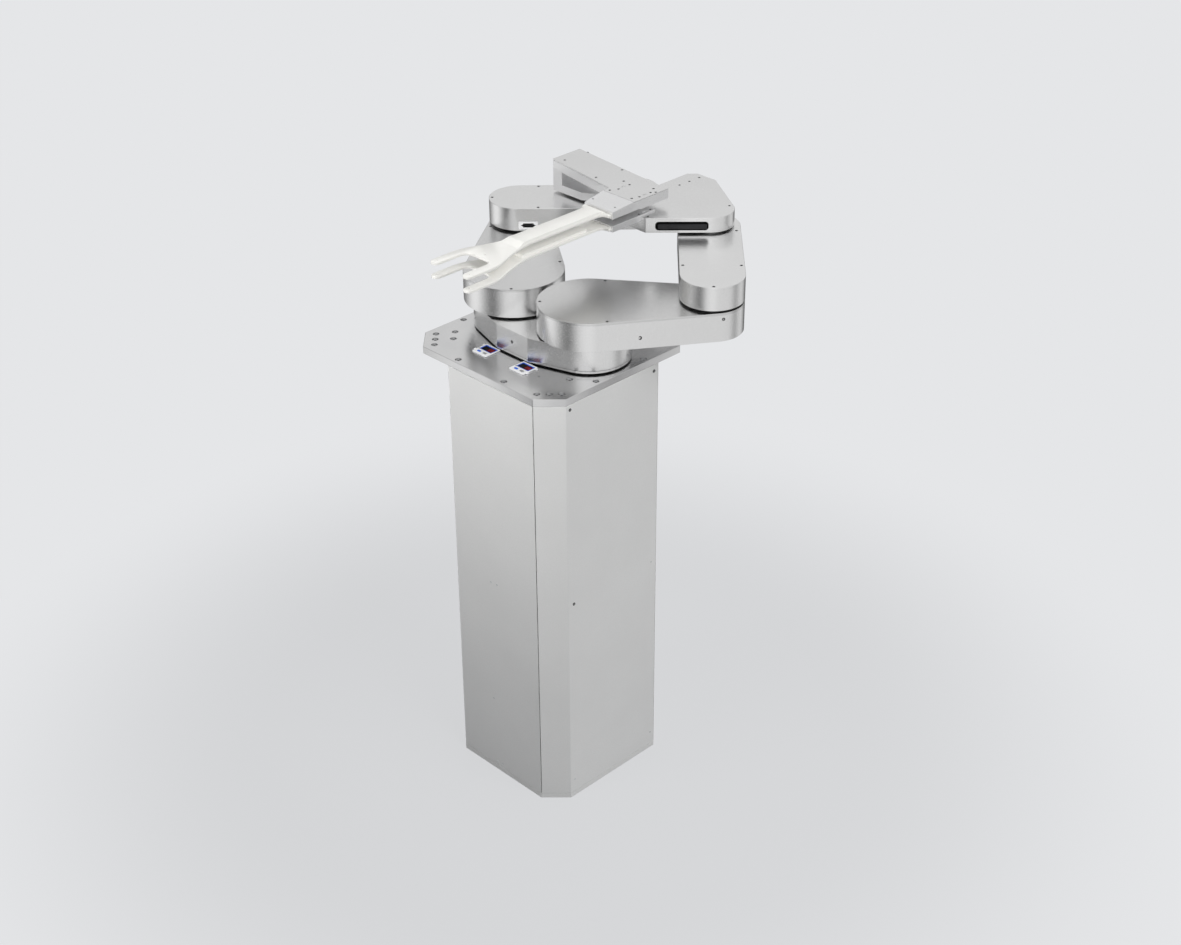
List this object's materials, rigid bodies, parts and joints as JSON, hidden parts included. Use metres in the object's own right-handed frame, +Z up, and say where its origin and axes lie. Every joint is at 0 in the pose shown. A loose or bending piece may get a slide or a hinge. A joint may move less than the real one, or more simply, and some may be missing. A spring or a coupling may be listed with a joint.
{
  "type": "wafer transfer robot",
  "caption": "Lift column robot with a turret and belt driven horizontal arms that carry ceramic wafer forks.",
  "frame": {"origin": "on the turret's axis at the underside of the base plate", "axes": "+Z up along the lift, the forks point to -Y, and the arm that carries the lower hand is at +X"},
  "size_m": [0.591, 0.637, 1.0676],
  "materials": {
    "aluminium": "bead blasted and clear anodised, satin",
    "panel": "pale grey powder coat on sheet steel",
    "ceramic": "ground alumina ceramic, warm white and matt",
    "steel": "ground",
    "motor": "black paint",
    "rubber": "matt black",
    "plastic": "white moulded",
    "display": "dark display window",
    "key": "grey moulded",
    "blue_key": "blue moulded",
    "black_plastic": "black moulded"
  },
  "bodies": {
    "column": {"base_plate": "panel", "front_panel": "panel", "right_panel": "panel", "back_panel": "panel", "left_panel": "panel", "column_frame": "steel", "flange_plate": "aluminium", "left_switch": "plastic", "left_switch_display": "display", "right_switch": "plastic", "right_switch_display": "display", "lift_beam": "aluminium", "upper_screw_bearing": "aluminium", "lift_motor_bracket": "aluminium", "lift_motor": "motor"},
    "left_mode_key": {"left_mode_button": "blue_key"},
    "left_set_key": {"left_set_button": "key"},
    "right_mode_key": {"right_mode_button": "blue_key"},
    "right_set_key": {"right_set_button": "key"},
    "lift_screw": {"ball_screw": "steel"},
    "lift": {"lift_tube": "aluminium", "lift_carriage": "aluminium", "ball_nut": "steel", "turret_bearing": "steel", "turret_motor": "motor"},
    "turret": {"turret_shell": "aluminium", "turret_hub": "aluminium", "left_arm_motor": "motor", "right_arm_motor": "motor", "left_turret_belt": "rubber", "right_turret_belt": "rubber", "left_shoulder_seal": "rubber", "right_shoulder_seal": "rubber"},
    "left_lower_arm": {"left_lower_arm_casing": "aluminium", "left_lower_arm_lid": "aluminium", "left_lower_arm_belt": "rubber", "left_shoulder_shaft": "steel", "left_elbow_post": "steel"},
    "left_forearm": {"left_forearm_casing": "aluminium", "left_forearm_lid": "aluminium", "left_forearm_belt": "rubber", "left_elbow_shaft": "steel", "left_forearm_connector": "black_plastic"},
    "upper_hand": {"upper_hand_bracket": "aluminium", "upper_hand_cover": "aluminium", "upper_fork": "ceramic"},
    "right_lower_arm": {"right_lower_arm_casing": "aluminium", "right_lower_arm_lid": "aluminium", "right_lower_arm_belt": "rubber", "right_shoulder_shaft": "steel", "right_elbow_post": "steel"},
    "right_forearm": {"right_forearm_casing": "aluminium", "right_forearm_lid": "aluminium", "right_forearm_belt": "rubber", "right_elbow_shaft": "steel"},
    "lower_hand": {"lower_hand_base": "aluminium", "lower_hand_casing": "aluminium", "hand_window_insert": "black_plastic", "lower_fork_plate": "aluminium", "lower_fork": "ceramic"}
  },
  "joints": [
    {"name": "lift_slide", "type": "slide", "parent": "column", "child": "lift", "axis": [0, 0, 1], "range_m": [0, 0.3]},
    {"name": "screw_spin", "type": "hinge", "parent": "column", "child": "lift_screw", "pos_m": [0.103, 0, 0.5], "axis": [0, 0, 1], "range_deg": [0, 5401]},
    {"name": "turret_spin", "type": "hinge", "parent": "lift", "child": "turret", "pos_m": [0, 0, 0.85], "axis": [0, 0, 1], "range_deg": [-170, 170]},
    {"name": "left_shoulder", "type": "hinge", "parent": "turret", "child": "left_lower_arm", "pos_m": [-0.094, 0, 0.9023], "axis": [0, 0, 1], "range_deg": [-14, 126]},
    {"name": "left_elbow", "type": "hinge", "parent": "left_lower_arm", "child": "left_forearm", "pos_m": [-0.23953, 0.1507, 0.9597], "axis": [0, 0, 1], "range_deg": [-253, 29]},
    {"name": "left_wrist", "type": "hinge", "parent": "left_forearm", "child": "upper_hand", "pos_m": [-0.094, 0.3014, 1.0065], "axis": [0, 0, 1], "range_deg": [-15, 127]},
    {"name": "right_shoulder", "type": "hinge", "parent": "turret", "child": "right_lower_arm", "pos_m": [0.094, 0, 0.9023], "axis": [0, 0, 1], "range_deg": [-126, 14]},
    {"name": "right_elbow", "type": "hinge", "parent": "right_lower_arm", "child": "right_forearm", "pos_m": [0.23953, 0.1507, 0.9597], "axis": [0, 0, 1], "range_deg": [-29, 253]},
    {"name": "right_wrist", "type": "hinge", "parent": "right_forearm", "child": "lower_hand", "pos_m": [0.094, 0.3014, 1.0065], "axis": [0, 0, 1], "range_deg": [-127, 15]},
    {"name": "left_mode_press", "type": "slide", "parent": "column", "child": "left_mode_key", "axis": [0, 0, -1], "range_m": [0, 0.0005], "stiffness_N_per_m": 300, "springref_m": -0.001},
    {"name": "left_set_press", "type": "slide", "parent": "column", "child": "left_set_key", "axis": [0, 0, -1], "range_m": [0, 0.0005], "stiffness_N_per_m": 300, "springref_m": -0.001},
    {"name": "right_mode_press", "type": "slide", "parent": "column", "child": "right_mode_key", "axis": [0, 0, -1], "range_m": [0, 0.0005], "stiffness_N_per_m": 300, "springref_m": -0.001},
    {"name": "right_set_press", "type": "slide", "parent": "column", "child": "right_set_key", "axis": [0, 0, -1], "range_m": [0, 0.0005], "stiffness_N_per_m": 300, "springref_m": -0.001}
  ],
  "couplings": [
    {"joint": "screw_spin", "follows": "lift_slide", "rad_per_m": 314.16},
    {"joint": "left_elbow", "follows": "left_shoulder", "ratio": -2},
    {"joint": "left_wrist", "follows": "left_shoulder", "ratio": 1},
    {"joint": "right_elbow", "follows": "right_shoulder", "ratio": -2},
    {"joint": "right_wrist", "follows": "right_shoulder", "ratio": 1}
  ]
}
